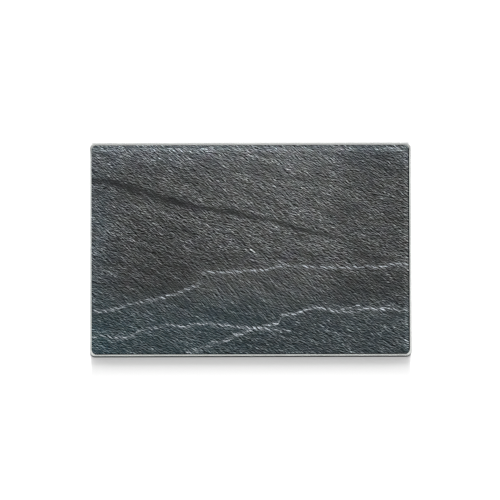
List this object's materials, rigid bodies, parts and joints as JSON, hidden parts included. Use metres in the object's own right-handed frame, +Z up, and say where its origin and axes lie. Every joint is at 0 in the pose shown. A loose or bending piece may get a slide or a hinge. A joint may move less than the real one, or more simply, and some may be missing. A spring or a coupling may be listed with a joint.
{
  "type": "glass cutting board",
  "caption": "Flat rectangular tempered-glass cutting board with rounded corners, a slate-look decor on its back, a white backing film and bumper feet under the corners.",
  "frame": {"origin": "on the worktop, under the middle of the board, at the height of the feet's contact faces", "axes": "+X along the board's length to the cook's right, +Y across its width away from the cook, +Z up through the cutting surface"},
  "size_m": [0.3, 0.2, 0.008],
  "materials": {
    "glass": "clear tempered glass with a smooth top and a ground, satin edge",
    "slate_print": "dark grey slate print with pale veins, seen through the glass",
    "white_film": "white protective film, satin",
    "clear_bumper": "clear, slightly milky moulded polyurethane",
    "adhesive": "translucent acrylic adhesive"
  },
  "bodies": {
    "root": {"glass_pane": "glass", "decor_print": "slate_print", "backing_film": "white_film", "foot_front_left": "clear_bumper", "foot_front_right": "clear_bumper", "foot_rear_left": "clear_bumper", "foot_rear_right": "clear_bumper", "foot_adhesive_front_left": "adhesive", "foot_adhesive_front_right": "adhesive", "foot_adhesive_rear_left": "adhesive", "foot_adhesive_rear_right": "adhesive"}
  },
  "joints": []
}
